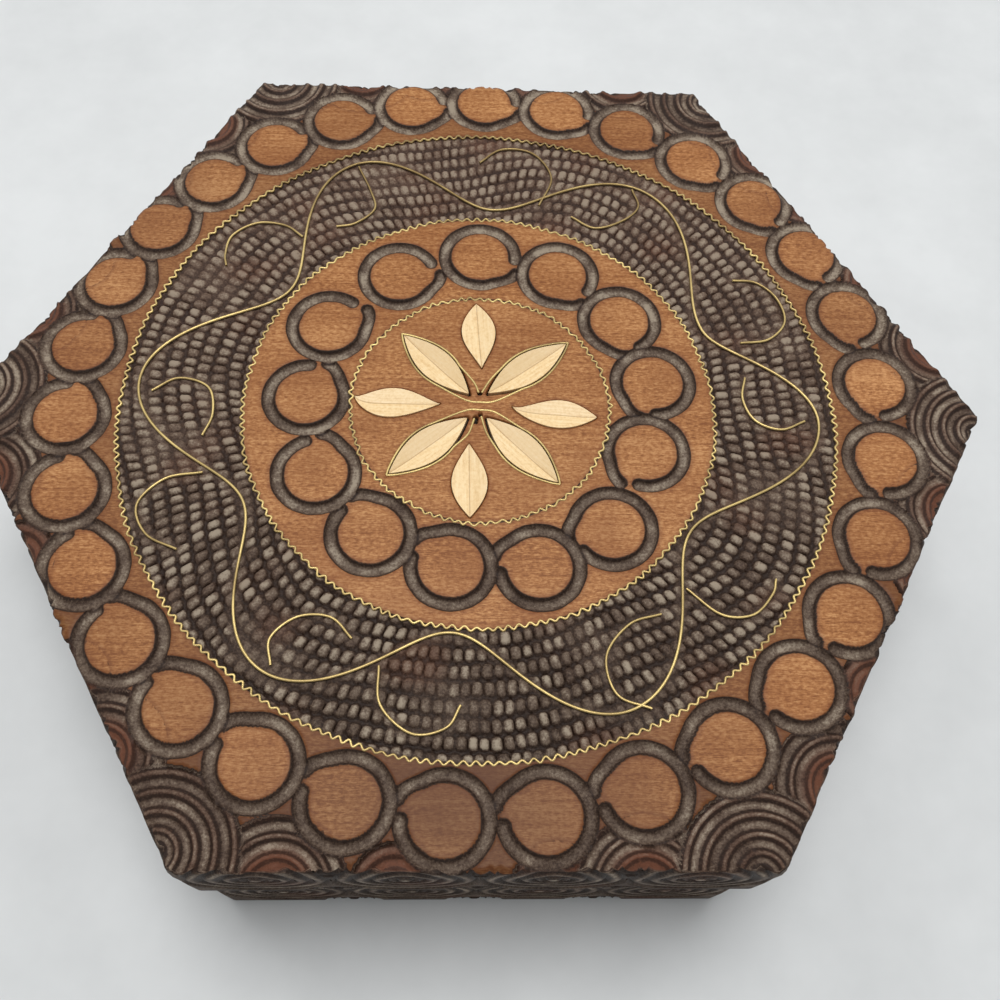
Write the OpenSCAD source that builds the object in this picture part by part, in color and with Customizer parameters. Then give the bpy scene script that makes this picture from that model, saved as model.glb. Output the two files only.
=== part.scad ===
// Six-sided carved wooden box with a hinged lid, inlaid with brass wire and pale leaves.
// It stands on z = 0 with its centre on the Z axis. The front side faces -Y and two
// corners point along +X and -X. The lid turns on two butt hinges at the back.

/* [Box] */
// Length of one side of the lid, from corner to corner
side_len = 102; // [92:1:130]
// Height of the closed box, from the table to the top of the lid
box_h = 52; // [46:1:80]
// Depth of the lid, from its top face down to the seam
lid_h = 21.5; // [17:0.5:24]
// Distance that the lid stands out past the body on every side
overhang = 1; // [0.4:0.1:2]
// Gap at the seam when the lid is closed
seam_gap = 0.3; // [0.2:0.1:0.6]
// Thickness of the boards round the body
wall_t = 9; // [8:0.5:12]
// Thickness of the boards round the lid
rim_t = 9; // [8:0.5:12]
// Thickness of the board on top of the lid
top_t = 9.5; // [7:0.5:12]
// Thickness of the base panel
base_t = 6; // [4:0.5:10]
// Width of the step in the boards that the base panel sits in
base_step = 4; // [2:0.5:5]
// Gap round the base panel
base_gap = 0.1; // [0.05:0.05:0.3]

/* [Ring chains] */
// Distance from the middle of a side to the circle on which the outer rings lie
outer_chain_inset = 7.6; // [7:0.1:9]
// Distance between neighbouring rings along their chain
ring_step = 16.9; // [16:0.1:19]
// Radius of the round flat inside each ring
disc_r = 6.3; // [5.5:0.1:6.6]
// Width of the U-shaped gouge cut round each flat
gouge_w = 2.5; // [2:0.1:2.7]
// Depth of the gouge cut
gouge_d = 0.9; // [0.5:0.1:1.2]
// Distance from each chain in to the crimped wire inside it
chain_to_wire = 9.9; // [9.8:0.1:11]
// Distance from the middle crimped wire in to the inner chain
wire_to_chain = 11; // [10.8:0.1:12]

/* [Fans and rosettes] */
// Number of arcs in the fan at each corner of the lid
corner_arcs = 5; // [2:1:5]
// Number of arcs in the fans along the edges of the lid
edge_arcs = 4; // [1:1:4]
// Distance between neighbouring arcs of a fan
arc_step = 2.6; // [2.2:0.1:3]
// Distance between neighbouring fans along an edge
fan_step = 19.5; // [17:0.5:24]
// Number of rings in each rosette on the sides
rosette_rings = 4; // [2:1:4]
// Radius of the eye of a rosette
rosette_eye = 2.6; // [2:0.1:3.2]
// Distance between neighbouring rings of a rosette
rosette_ring_step = 3; // [2.6:0.1:3]
// Flat left between the last rosette of a side and the corner
rosette_land = 1.2; // [1.1:0.1:3]
// Least distance between the middles of neighbouring rosettes
rosette_step = 25; // [24.6:0.1:30]
// Distance from the top of the lid down to the middle of its rosettes
rosette_drop = 7.6; // [5:0.2:10]
// Width of the knife cuts of fans and rosettes
cut_w = 0.9; // [0.6:0.1:1.2]
// Depth of the knife cuts of fans and rosettes
cut_d = 0.8; // [0.4:0.1:1]

/* [Wire inlay] */
// Width of the textured band between the middle and the outer wire
band_w = 24.1; // [20:0.1:26]
// Depth of the textured band below the top of the lid
band_d = 0.6; // [0.4:0.1:1]
// Thickness of the brass wire
wire_t = 0.6; // [0.4:0.1:0.8]
// Height of the brass wire, which stands on the floor of its bed
wire_h = 0.8; // [0.5:0.1:1.2]
// Distance between neighbouring bends of a crimped wire
crimp_step = 2; // [1.6:0.1:3]
// Depth of the bends of a crimped wire to each side of its circle
crimp_depth = 0.35; // [0.2:0.05:0.5]
// Gap between a crimped wire and the side of its bed
wire_gap = 0.1; // [0.05:0.05:0.2]
// Number of waves in the vine
vine_waves = 6; // [3:1:8]
// Depth of the vine's waves to each side of the middle of the band
vine_depth = 8.6; // [6:0.2:9]
// Radius of the tendrils
tendril_r = 6.2; // [4:0.2:6.4]
// Distance from the middle of the band to the middle of a tendril
tendril_shift = 0.6; // [0:0.1:1]
// Turn of each tendril in degrees
tendril_turn = 215; // [120:5:230]

/* [Leaves] */
// Width of the four leaves that have a wire round them
wired_leaf_w = 7; // [5:0.2:8]
// Width of the four plain leaves
plain_leaf_w = 7; // [5:0.2:8]
// Distance from the centre to the inner tip of the wired leaves
wired_leaf_start = 3.2; // [3:0.1:5]
// Distance from the centre to the inner tip of the plain leaves
plain_leaf_start = 9; // [8:0.5:11]
// Distance from the outer tips of the leaves to the inner wire
leaf_margin = 1.9; // [1.8:0.1:3]
// Thickness of the leaves
leaf_t = 1.6; // [1.4:0.1:2.4]
// Distance that the edges of the leaves stand up past the lid
leaf_proud = 0.2; // [0.1:0.1:0.4]
// Depth of the V-shaped cut along the middle of a leaf
midrib_d = 0.5; // [0.2:0.1:0.8]
// Gap between a leaf and its wire, or the side of its bed
leaf_gap = 0.15; // [0.1:0.05:0.3]

/* [Hinges] */
// Distance from a corner of the back to the middle of the hinge beside it
hinge_inset = 24; // [21:1:28]
// Length of a hinge
hinge_l = 24; // [18:1:30]
// Thickness of a hinge leaf
hinge_t = 1; // [0.8:0.1:1.4]
// Distance that a hinge leaf reaches into the board
hinge_w = 7.5; // [6.5:0.1:7.5]
// Outside radius of the hinge knuckles
knuckle_r = 1.9; // [1.7:0.1:2.4]
// Number of knuckles, an odd number
knuckles = 5; // [3:2:7]
// Gap between neighbouring knuckles
knuckle_gap = 0.15; // [0.1:0.05:0.3]
// Radius of the hinge pin
pin_r = 0.8; // [0.6:0.1:1]
// Gap round the hinge pin
pin_gap = 0.05; // [0.03:0.01:0.08]
// Length of pin that stands out at each end of a hinge
pin_end = 0.5; // [0.2:0.1:1]
// Gap between the knuckles and the back of the lid
hinge_clear = 0.5; // [0.4:0.1:1]
// Gap between a hinge leaf and the sides of its bed
mortise_gap = 0.1; // [0.05:0.05:0.3]
// Number of screws in each hinge leaf
screws = 2; // [1:1:3]
// Radius of the hinge screws
screw_r = 0.9; // [0.7:0.1:1.1]
// Radius of the heads of the hinge screws
screw_head_r = 1.7; // [1.5:0.1:2]
// Length of the hinge screws
screw_l = 7; // [5:0.5:9]
// Gap round the shanks and the heads of the hinge screws
screw_gap = 0.05; // [0.03:0.01:0.1]

/* [Hidden] */

$fn = 96;
over = 2; // how far a cutting shape runs past the surface that it cuts
arris = 0.3; // wood left between the cuts of the lid's top and those of its sides

walnut = "saddlebrown";
amber = "peru";
maple = "navajowhite";
brass = "darkgoldenrod";

// Places of the six sides, as steps of 60 degrees from the front
FRONT = 0;
FRONT_RIGHT = 1;
BACK_RIGHT = 2;
BACK = 3;
BACK_LEFT = 4;
FRONT_LEFT = 5;

// Distances from the Z axis to the middle of a side
lid_apothem = side_len * cos(30);
body_apothem = lid_apothem - overhang;

// Heights
body_h = box_h - lid_h - seam_gap;
rim_z = body_h + seam_gap;
rim_h = lid_h - top_t;
board_z = box_h - top_t;
band_z = box_h - band_d;

// Circles of the lid's pattern, from the outside in
outer_chain_r = lid_apothem - outer_chain_inset;
outer_wire_r = outer_chain_r - chain_to_wire;
middle_wire_r = outer_wire_r - band_w;
inner_chain_r = middle_wire_r - wire_to_chain;
inner_wire_r = inner_chain_r - chain_to_wire;
vine_r = (outer_wire_r + middle_wire_r) / 2;
wire_bed = crimp_depth + wire_t / 2 + wire_gap;

// Rings
chain_start = 89; // direction of the first ring, in degrees
gouge_r = disc_r + gouge_w / 2;
ring_outer_r = disc_r + gouge_w;
gouge_circle_r = (sqr(gouge_w / 2) + sqr(gouge_d)) / (2 * gouge_d);

// Fans and rosettes
corner_fan_r = corner_arcs * arc_step;
rosette_r = rosette_eye + (rosette_rings - 1) * rosette_ring_step + cut_w / 2;
rosette_reach = rosette_r + rosette_land; // from the middle of the last rosette to the corner
rosettes = floor((side_len - 2 * rosette_reach) / rosette_step) + 1; // on each side
rosette_z_body = body_h / 2;
rosette_z_lid = box_h - rosette_drop;

// Leaves: outer tips, and the lens round each wired leaf
leaf_end = inner_wire_r - leaf_margin;
wired_leaf_l = leaf_end - wired_leaf_start;
plain_leaf_l = leaf_end - plain_leaf_start;
leaf_floor = box_h + leaf_proud - leaf_t;

// Hinges
hinge_y = lid_apothem + hinge_clear + knuckle_r;
hinge_z = body_h + seam_gap / 2;
hinge_x = side_len / 2 - hinge_inset;
knuckle_step = hinge_l / knuckles;
pin_l = hinge_l + 2 * pin_end;
screw_y = body_apothem - hinge_w / 2;
screw_step = hinge_l / screws;
screw_head_h = screw_head_r - screw_r;

function sqr(x) = x * x;
function polar(r, a) = [r * cos(a), r * sin(a)];

// Construction shapes

module hex_prism(apothem, h) {
    cylinder(r = apothem / cos(30), h = h, $fn = 6);
}

// A board along the front whose ends are mitred to meet its neighbours
module mitred_board(apothem, t, h) {
    outer = apothem * tan(30);
    inner = (apothem - t) * tan(30);
    linear_extrude(h)
        polygon([[-outer, -apothem], [outer, -apothem], [inner, t - apothem], [-inner, t - apothem]]);
}

module ring_2d(r, w) {
    difference() {
        circle(r = r + w / 2);
        circle(r = r - w / 2);
    }
}

// A row of rosettes across a side that faces the front, cut in from its face and up to top
module rosette_row(apothem, z, top) {
    face_l = 2 * apothem * tan(30);
    step = (face_l - 2 * rosette_reach) / max(rosettes - 1, 1);
    translate([0, cut_d - apothem, z])
        rotate([90, 0, 0])
            linear_extrude(cut_d + over)
                difference() {
                    for (i = [0 : rosettes - 1])
                        translate([(i - (rosettes - 1) / 2) * step, 0])
                            for (k = [0 : rosette_rings - 1])
                                ring_2d(rosette_eye + k * rosette_ring_step, cut_w);
                    translate([-face_l, top - z])
                        square([2 * face_l, box_h]);
                }
}

// Children at the rings of a chain, all turned the same way
module at_rings(r) {
    count = round(180 / asin(ring_step / 2 / r));
    for (i = [0 : count - 1])
        translate(polar(r, chain_start + i * 360 / count))
            children();
}

// The U-shaped groove of one ring, cut down from z = 0
module gouge() {
    translate([0, 0, gouge_circle_r - gouge_d])
        rotate_extrude()
            translate([gouge_r, 0])
                circle(r = gouge_circle_r, $fn = 32);
}

module ring_chain(r) {
    translate([0, 0, box_h])
        at_rings(r)
            gouge();
}

// The chains' rings as whole discs, which the fans stop at
module outer_chain_2d() {
    at_rings(outer_chain_r)
        circle(r = ring_outer_r + cut_w / 2);
}

module corner_fans_2d() {
    for (i = [0 : 5])
        rotate(60 * i)
            translate([side_len, 0])
                for (k = [1 : corner_arcs])
                    ring_2d(k * arc_step, cut_w);
}

module edge_fans_2d() {
    per_half = floor((side_len / 2 - fan_step / 4) / fan_step);
    for (i = [0 : 5], k = [1 : per_half], m = [-1, 1])
        rotate(60 * i)
            translate([m * (side_len / 2 - k * fan_step), -lid_apothem])
                for (a = [1 : edge_arcs])
                    ring_2d(a * arc_step + arc_step / 2, cut_w);
}

module corner_discs_2d() {
    for (i = [0 : 5])
        rotate(60 * i)
            translate([side_len, 0])
                circle(r = corner_fan_r + cut_w);
}

module fan_cuts() {
    translate([0, 0, box_h - cut_d])
        linear_extrude(cut_d + over)
            difference() {
                union() {
                    corner_fans_2d();
                    difference() {
                        edge_fans_2d();
                        corner_discs_2d();
                    }
                }
                outer_chain_2d();
            }
}

// A pointed leaf from one tip to the other along +X, grown on all sides by grow
module leaf_2d(start, length, width, grow = 0) {
    bow_r = (sqr(length / 2) + sqr(width / 2)) / width;
    off = bow_r - width / 2;
    translate([start + length / 2, 0])
        intersection() {
            translate([0, off])
                circle(r = bow_r + grow, $fn = 180);
            translate([0, -off])
                circle(r = bow_r + grow, $fn = 180);
        }
}

module wired_leaf_2d(grow = 0) {
    leaf_2d(wired_leaf_start, wired_leaf_l, wired_leaf_w, grow);
}

module plain_leaf_2d(grow = 0) {
    leaf_2d(plain_leaf_start, plain_leaf_l, plain_leaf_w, grow);
}

// The V-shaped cut along the middle of a leaf
module midrib_cut(width) {
    translate([0, 0, box_h + leaf_proud])
        rotate([90, 0, 90])
            linear_extrude(inner_wire_r)
                polygon([[-width / 2, 0], [0, -midrib_d], [width / 2, 0], [width / 2, over], [-width / 2, over]]);
}

module leaf_solid(width) {
    difference() {
        translate([0, 0, leaf_floor])
            linear_extrude(leaf_t)
                children();
        midrib_cut(width + 2 * leaf_gap);
    }
}

// The crimped wire as a zigzag ribbon that stands on edge
module crimped_wire(r, z) {
    bends = round(PI * r / (crimp_step / 2) / 2) * 2;
    outer = [for (i = [0 : bends - 1]) polar(r + wire_t / 2 + crimp_depth * (i % 2 == 0 ? 1 : -1), i * 360 / bends)];
    inner = [for (i = [0 : bends - 1]) polar(r - wire_t / 2 + crimp_depth * (i % 2 == 0 ? 1 : -1), i * 360 / bends)];
    translate([0, 0, z])
        linear_extrude(wire_h)
            difference() {
                polygon(outer);
                polygon(inner);
            }
}

// The vine winds from the outer to the inner edge of the band
function vine_at(a) = polar(vine_r + vine_depth * cos(vine_waves * a), a);
function along(a) = let (d = vine_at(a + 0.1) - vine_at(a - 0.1)) d / norm(d);
function beside(a, off) = let (d = along(a)) vine_at(a) + off * [d[1], -d[0]];

module hinge_bed(z) {
    l = hinge_l + 2 * mortise_gap;
    for (m = [-1, 1])
        translate([m * hinge_x - l / 2, body_apothem - hinge_w - mortise_gap, z])
            cube([l, hinge_w + knuckle_r + over * 2, hinge_t]);
}

module at_screws(m) {
    for (i = [0 : screws - 1])
        translate([m * hinge_x + (i - (screws - 1) / 2) * screw_step, screw_y, 0])
            children();
}

// A countersunk screw with its head up at z = 0, or its hole where grow is set
module screw_shape(grow = 0) {
    rotate_extrude($fn = 48)
        polygon([
            [0, 0], [screw_head_r + grow, 0],
            [screw_r + grow, -screw_head_h], [screw_r + grow, -screw_l - grow], [0, -screw_l - grow],
        ]);
}

module screw_holes(m) {
    at_screws(m)
        union() {
            screw_shape(screw_gap);
            cylinder(r = screw_head_r + screw_gap, h = over);
        }
}

// Puts children, drawn for the top of the body's back edge, there or under the lid's rim
module on_body_edge() {
    translate([0, 0, body_h])
        children();
}

module on_rim_edge() {
    translate([0, 0, rim_z])
        mirror([0, 0, 1])
            children();
}

// Ends of knuckle k, from the left end of its hinge
function knuckle_from(k) = k * knuckle_step + (k == 0 ? 0 : knuckle_gap / 2);
function knuckle_to(k) = (k + 1) * knuckle_step - (k == knuckles - 1 ? 0 : knuckle_gap / 2);

// Ends of the notch that one leaf has for knuckle k of the other
function notch_from(k) = k == 0 ? -over : knuckle_from(k) - knuckle_gap;
function notch_to(k) = k == knuckles - 1 ? hinge_l + over : knuckle_to(k) + knuckle_gap;

// One leaf of a hinge: the plate, with the knuckles whose number has this remainder
module hinge_leaf(m, odd, axis_up) {
    left = m * hinge_x - hinge_l / 2;
    reach = hinge_y - body_apothem + hinge_w;
    difference() {
        translate([left, body_apothem - hinge_w, -hinge_t])
            cube([hinge_l, reach, hinge_t]);
        for (k = [0 : knuckles - 1])
            if (k % 2 != odd)
                translate([left + notch_from(k), lid_apothem, -hinge_t - over])
                    cube([notch_to(k) - notch_from(k), reach, hinge_t + 2 * over]);
        translate([m * hinge_x, hinge_y, axis_up])
            rotate([0, 90, 0])
                cylinder(r = pin_r + pin_gap, h = hinge_l + over, center = true);
        screw_holes(m);
    }
    for (k = [0 : knuckles - 1])
        if (k % 2 == odd)
            translate([left + knuckle_from(k), hinge_y, axis_up])
                rotate([0, 90, 0])
                    difference() {
                        cylinder(r = knuckle_r, h = knuckle_to(k) - knuckle_from(k));
                        translate([0, 0, -over])
                            cylinder(r = pin_r + pin_gap, h = knuckle_step + 2 * over);
                    }
}

// Sub-parts

module base_panel() {
    color(walnut)
        hex_prism(body_apothem - wall_t + base_step - base_gap, base_t);
}

module body_side(place) {
    color(walnut)
        rotate(60 * place)
            difference() {
                mitred_board(body_apothem, wall_t, body_h);
                translate([0, 0, -over])
                    hex_prism(body_apothem - wall_t + base_step, base_t + over);
                rosette_row(body_apothem, rosette_z_body, box_h);
                if (place == BACK)
                    rotate(180)
                        on_body_edge() {
                            hinge_bed(-hinge_t);
                            screw_holes(-1);
                            screw_holes(1);
                        }
            }
}

module lid_rim(place) {
    color(walnut)
        rotate(60 * place)
            difference() {
                translate([0, 0, rim_z])
                    mitred_board(lid_apothem, rim_t, rim_h);
                rosette_row(lid_apothem, rosette_z_lid, box_h);
                if (place == BACK)
                    rotate(180)
                        on_rim_edge() {
                            hinge_bed(-hinge_t);
                            screw_holes(-1);
                            screw_holes(1);
                        }
            }
}

module lid_board() {
    color(amber)
        difference() {
            translate([0, 0, board_z])
                hex_prism(lid_apothem, top_t);
            for (place = [FRONT : FRONT_LEFT])
                rotate(60 * place)
                    rosette_row(lid_apothem, rosette_z_lid, box_h - max(cut_d, gouge_d) - arris);
            ring_chain(outer_chain_r);
            ring_chain(inner_chain_r);
            fan_cuts();
            // The band, and the bed of the inner wire
            translate([0, 0, band_z])
                linear_extrude(over) {
                    ring_2d(vine_r, band_w + 2 * wire_bed);
                    ring_2d(inner_wire_r, 2 * wire_bed);
                }
            // The beds of the leaves
            translate([0, 0, leaf_floor])
                linear_extrude(leaf_t + over)
                    for (i = [0 : 3])
                        rotate(90 * i) {
                            plain_leaf_2d(leaf_gap);
                            rotate(45)
                                wired_leaf_2d(wire_t + 2 * leaf_gap);
                        }
        }
}

module inner_crimped_wire() {
    color(brass)
        crimped_wire(inner_wire_r, band_z);
}

module middle_crimped_wire() {
    color(brass)
        crimped_wire(middle_wire_r, band_z);
}

module outer_crimped_wire() {
    color(brass)
        crimped_wire(outer_wire_r, band_z);
}

module vine_wire() {
    steps = 180;
    color(brass)
        translate([0, 0, band_z])
            linear_extrude(wire_h)
                difference() {
                    polygon([for (i = [0 : steps - 1]) beside(i * 360 / steps, wire_t / 2)]);
                    polygon([for (i = [0 : steps - 1]) beside(i * 360 / steps, -wire_t / 2)]);
                }
}

// Each tendril curls in the hollow of a wave, once on the inside and once on the outside
module vine_tendrils() {
    wave = 360 / vine_waves;
    color(brass)
        for (i = [0 : vine_waves - 1]) {
            rotate(wave * i)
                tendril(vine_r - tendril_shift, 90);
            rotate(wave * (i + 0.5))
                tendril(vine_r + tendril_shift, -90);
        }
}

module tendril(r, start) {
    translate([r, 0, band_z])
        rotate(start)
            rotate_extrude(angle = tendril_turn)
                translate([tendril_r - wire_t, 0])
                    square([wire_t, wire_h]);
}

module wired_leaves() {
    color(maple)
        for (i = [0 : 3])
            rotate(45 + 90 * i)
                leaf_solid(wired_leaf_w)
                    wired_leaf_2d();
}

module plain_leaves() {
    color(maple)
        for (i = [0 : 3])
            rotate(90 * i)
                leaf_solid(plain_leaf_w)
                    plain_leaf_2d();
}

module leaf_wires() {
    color(brass)
        translate([0, 0, leaf_floor])
            linear_extrude(leaf_t)
                for (i = [0 : 3])
                    rotate(45 + 90 * i)
                        difference() {
                            wired_leaf_2d(wire_t + leaf_gap);
                            wired_leaf_2d(leaf_gap);
                        }
}

module body_leaf(m) {
    color(brass)
        on_body_edge()
            hinge_leaf(m, 0, hinge_z - body_h);
}

module lid_leaf(m) {
    color(brass)
        on_rim_edge()
            hinge_leaf(m, 1, rim_z - hinge_z);
}

module hinge_pin(m) {
    color(brass)
        translate([m * hinge_x, hinge_y, hinge_z])
            rotate([0, 90, 0])
                cylinder(r = pin_r, h = pin_l, center = true);
}

module body_hinge_screws() {
    color(brass)
        on_body_edge()
            for (m = [-1, 1])
                at_screws(m)
                    screw_shape();
}

module lid_hinge_screws() {
    color(brass)
        on_rim_edge()
            for (m = [-1, 1])
                at_screws(m)
                    screw_shape();
}

base_panel();
body_side(FRONT);  // body_side_front
body_side(FRONT_RIGHT);  // body_side_front_right
body_side(BACK_RIGHT);  // body_side_back_right
body_side(BACK);  // body_side_back
body_side(BACK_LEFT);  // body_side_back_left
body_side(FRONT_LEFT);  // body_side_front_left
lid_board();
lid_rim(FRONT);  // lid_rim_front
lid_rim(FRONT_RIGHT);  // lid_rim_front_right
lid_rim(BACK_RIGHT);  // lid_rim_back_right
lid_rim(BACK);  // lid_rim_back
lid_rim(BACK_LEFT);  // lid_rim_back_left
lid_rim(FRONT_LEFT);  // lid_rim_front_left
inner_crimped_wire();
middle_crimped_wire();
outer_crimped_wire();
vine_wire();
vine_tendrils();
wired_leaves();
leaf_wires();
plain_leaves();
body_leaf(-1);  // hinge_left_body_leaf
body_leaf(1);  // hinge_right_body_leaf
lid_leaf(-1);  // hinge_left_lid_leaf
lid_leaf(1);  // hinge_right_lid_leaf
hinge_pin(-1);  // hinge_left_pin
hinge_pin(1);  // hinge_right_pin
body_hinge_screws();
lid_hinge_screws();
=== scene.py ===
"""Looks of a six-sided carved wooden box.

Lengths are millimetres until a mesh is made, and metres for the floor, the lamps and the camera.
"""

import math
from collections import namedtuple

import bmesh
import bpy
import numpy as np
from mathutils import Matrix, Vector


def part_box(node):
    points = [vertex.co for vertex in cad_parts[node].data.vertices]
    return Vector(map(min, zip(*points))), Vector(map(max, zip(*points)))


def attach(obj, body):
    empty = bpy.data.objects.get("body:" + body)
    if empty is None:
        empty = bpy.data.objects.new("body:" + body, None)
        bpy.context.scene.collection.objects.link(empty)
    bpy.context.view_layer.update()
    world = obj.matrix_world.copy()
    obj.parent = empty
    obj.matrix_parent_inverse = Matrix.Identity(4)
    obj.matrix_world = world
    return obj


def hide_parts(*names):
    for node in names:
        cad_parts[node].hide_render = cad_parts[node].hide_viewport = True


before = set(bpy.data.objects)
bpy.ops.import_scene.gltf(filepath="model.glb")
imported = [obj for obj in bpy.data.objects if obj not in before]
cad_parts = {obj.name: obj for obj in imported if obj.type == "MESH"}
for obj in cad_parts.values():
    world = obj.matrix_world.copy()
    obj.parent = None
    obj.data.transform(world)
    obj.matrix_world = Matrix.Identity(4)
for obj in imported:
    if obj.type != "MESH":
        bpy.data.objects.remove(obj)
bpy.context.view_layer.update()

MM = 0.001
TAN30 = math.tan(math.radians(30))
SIDES = ["front", "front_right", "back_right", "back", "back_left", "front_left"]


def node_box(name):
    """Lowest and highest corner of a CAD node in millimetres."""
    low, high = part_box(name)
    return np.array(low) / MM, np.array(high) / MM


# Sizes that the CAD model gives
board_low, board_high = node_box("lid_board")
SIDE = board_high[0]
LID_APOTHEM = board_high[1]
BOARD_Z = board_low[2]
TOP = board_high[2]
body_low, body_high = node_box("body_side_front")
BODY_APOTHEM = -body_low[1]
BODY_TOP = body_high[2]
WALL = body_high[1] - body_low[1]
rim_low, rim_high = node_box("lid_rim_front")
RIM_Z = rim_low[2]
RIM_WALL = rim_high[1] - rim_low[1]
hinge_low, hinge_high = node_box("hinge_left_body_leaf")
HINGE_X = (hinge_low[0] + hinge_high[0]) / 2
HINGE_L = hinge_high[0] - hinge_low[0]
BASE_T = node_box("base_panel")[1][2]
LEAF_LOW = node_box("plain_leaves")[0][2]

# Sizes of the CAD model that no node's box gives
BASE_STEP = 4.0
HINGE_BED_W = 7.6
HINGE_BED_D = 1.0
HINGE_BED_GAP = 0.1

# Wires
WIRE_CENTRE = (0.0, 0.6)
INNER_WIRE_R = 25.8
MIDDLE_WIRE_R = 46.8
OUTER_WIRE_R = 70.85
WIRE_TOP = TOP + 0.18
LEAF_TOP = WIRE_TOP - 0.03

# Ring chains. A groove starts START_RISE outside its own circle, and comes back to it by RISE_OVER.
GOUGE_R = 7.5
GOUGE_HALF = 1.27
GOUGE_D = 0.95
RING_START = math.radians(14)
RING_END = math.radians(-10)
START_RISE = 1.25
RISE_OVER = math.radians(52)

# How much broader the dark line of painted shade is on the inner side of a groove
INNER_SHADE = 0.14

INNER_CHAIN_CENTRE = (0, 1.3)
INNER_RINGS = [(0, 37.5), (-17, 32), (-31, 19), (-34.5, 2), (-31.5, -15), (-20.5, -27.5), (-5.5, -34),
               (11, -34), (25, -26), (32.5, -9.5), (35, 6.5), (29, 21.5), (16.5, 33)]

OUTER_CHAIN_CENTRE = (0, 1.2)
OUTER_CHAIN_R = 80.9
OUTER_COUNT = 30
FIRST_RING = 89.3
RING_DRIFT = 1.8


def outer_rings():
    """Middles of the outer rings, each after the one that it starts from."""
    rings = []
    for k in range(OUTER_COUNT - 1, -1, -1):
        drift = -RING_DRIFT + RING_DRIFT * math.cos(2 * math.pi * (k - 1) / OUTER_COUNT)
        a = math.radians(FIRST_RING - 360 / OUTER_COUNT * k + drift)
        rings.append((OUTER_CHAIN_R * math.cos(a), OUTER_CHAIN_CENTRE[1] + OUTER_CHAIN_R * math.sin(a)))
    return rings


OUTER_RINGS = outer_rings()


def smooth(x, low, high):
    t = np.clip((x - low) / (high - low), 0, 1)
    return t * t * (3 - 2 * t)


def scatter(a, b=0.0):
    """A fixed pseudo-random number from 0 to 1 for each pair of whole numbers."""
    return np.modf(np.abs(np.sin(a * 127.1 + b * 311.7 + 4.7) * 43758.5453))[0]


WAVE_COUNT = 5


def waves(x, y, scale, seed):
    """Smooth noise from -1 to 1 made of a few crossed sine waves."""
    total = 0.0
    for k in range(WAVE_COUNT):
        turn = 2.4 * k + seed
        reach = scale * (0.7 + 0.22 * k)
        ahead = x * math.cos(turn) + y * math.sin(turn)
        total = total + np.sin(ahead / reach * 2 * math.pi + seed * 1.7 * k)
    return total / WAVE_COUNT


# Fields. Each gives for points of a surface the depth of the cut and a look: "line" is the distance
# to the nearest dark line, positive in carved wood and negative on flats; "tone" is how pale it is,
# "warm" how red, and "arc" passes a whole number on each further dark line. The dark lines are
# painted shade along the cuts, and "tone" holds painted light in places.

LOOKS = ["line", "tone", "warm", "arc"]
NO_ARC = 0.5

# More than any distance on the box, and the longest distance that "line" tells on flats
FAR_OFF = 1e3
LINE_REACH = 3


def look(line, tone, warm, arc=NO_ARC):
    line = np.asarray(line, float)
    return np.stack([np.broadcast_to(value, line.shape) for value in (line, tone, warm, arc)], axis=-1)


def ring_inside(x, y, ring, before, centre):
    """How far points lie inside the groove of one ring, and how far outside the groove's middle.

    The groove starts beside the ring before it, towards the centre of the chain.
    """
    to_before = np.array(before, float) - ring
    to_before /= np.linalg.norm(to_before)
    across = np.array([-to_before[1], to_before[0]])
    if across @ (np.array(centre) - ring) < 0:
        across = -across
    u = (x - ring[0]) * to_before[0] + (y - ring[1]) * to_before[1]
    v = (x - ring[0]) * across[0] + (y - ring[1]) * across[1]
    rho = np.hypot(u, v)
    angle = np.arctan2(v, u)
    rise = START_RISE * (1 - smooth(angle, RING_START, RISE_OVER))
    gouge_r = GOUGE_R + np.where(angle > 0, rise, 0) + 0.07 * waves(x, y, 5, ring[0])
    inside = GOUGE_HALF - np.abs(rho - gouge_r) + 0.05 * waves(x, y, 2.6, 7)
    start_r = GOUGE_R + START_RISE
    to_start = np.hypot(u - start_r * math.cos(RING_START), v - start_r * math.sin(RING_START))
    to_end = np.hypot(u - GOUGE_R * math.cos(RING_END), v - GOUGE_R * math.sin(RING_END))
    cap = GOUGE_HALF - np.minimum(to_start, to_end)
    gap = (angle > RING_END) & (angle < RING_START)
    return np.where(gap, cap, inside), rho - gouge_r


def chain_field(x, y, rings, centre):
    """Depth, line and distance into the grooves of a whole chain."""
    count = len(rings)
    each = [ring_inside(x, y, np.array(rings[k], float), rings[k - 1], centre) for k in range(count)]
    depth = np.zeros_like(x)
    inside = np.full_like(x, -FAR_OFF)
    line = np.full_like(x, FAR_OFF)
    for k in range(count):
        own, off = each[k]
        before = each[k - 1][0]
        t = np.clip(own / GOUGE_HALF, 0, 1)
        depth = np.maximum(depth, GOUGE_D * (0.85 * smooth(own, -0.08, 0.6) + 0.15 * t))
        inside = np.maximum(inside, own)
        own_line = np.where(off < 0, np.maximum(np.abs(own) - INNER_SHADE, 0), np.abs(own))
        line = np.minimum(line, np.where(before < 0, own_line, FAR_OFF))
    return depth, line, inside


def arcs_field(rho, radii):
    """Distance to the nearest of some circles."""
    distance = np.full_like(rho, FAR_OFF)
    for r in radii:
        distance = np.minimum(distance, np.abs(rho - r))
    return distance


def arc_number(rho, radii):
    """Counts circles outward: whole on each circle, and a half inside the first and outside the last."""
    count = len(radii)
    places = [0] + radii + [radii[-1] + 1]
    numbers = [0.5] + list(range(1, count + 1)) + [count + 0.5]
    return np.interp(rho, places, numbers)


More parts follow.
